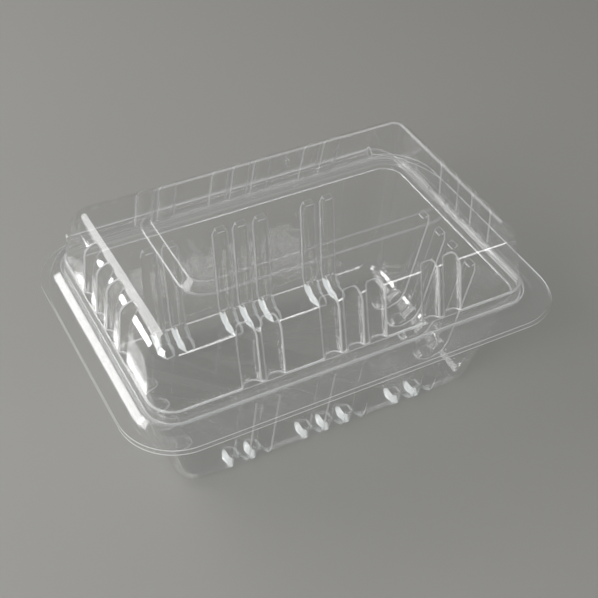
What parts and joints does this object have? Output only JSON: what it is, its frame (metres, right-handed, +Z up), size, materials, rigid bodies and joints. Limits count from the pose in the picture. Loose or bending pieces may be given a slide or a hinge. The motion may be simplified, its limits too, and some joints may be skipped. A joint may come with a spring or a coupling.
{
  "type": "hinged food container",
  "caption": "Clear thermoformed plastic food pack: a deep fluted tray and a fluted domed lid with a raised top panel, joined at the back by a folded hinge.",
  "frame": {"origin": "middle of the tray's underside, on the surface it stands on, under the centre of the lid", "axes": "+X along the length, +Y towards the hinge at the back, +Z up"},
  "size_m": [0.1908, 0.134, 0.0914],
  "materials": {
    "clear_sheet": "clear gloss"
  },
  "bodies": {
    "tray": {"tray": "clear_sheet"},
    "lid": {"lid": "clear_sheet"}
  },
  "joints": [
    {"name": "lid_hinge", "type": "hinge", "parent": "tray", "child": "lid", "pos_m": [0, 0.06615, 0.05535], "axis": [-1, 0, 0], "range_deg": [0, 180]}
  ]
}
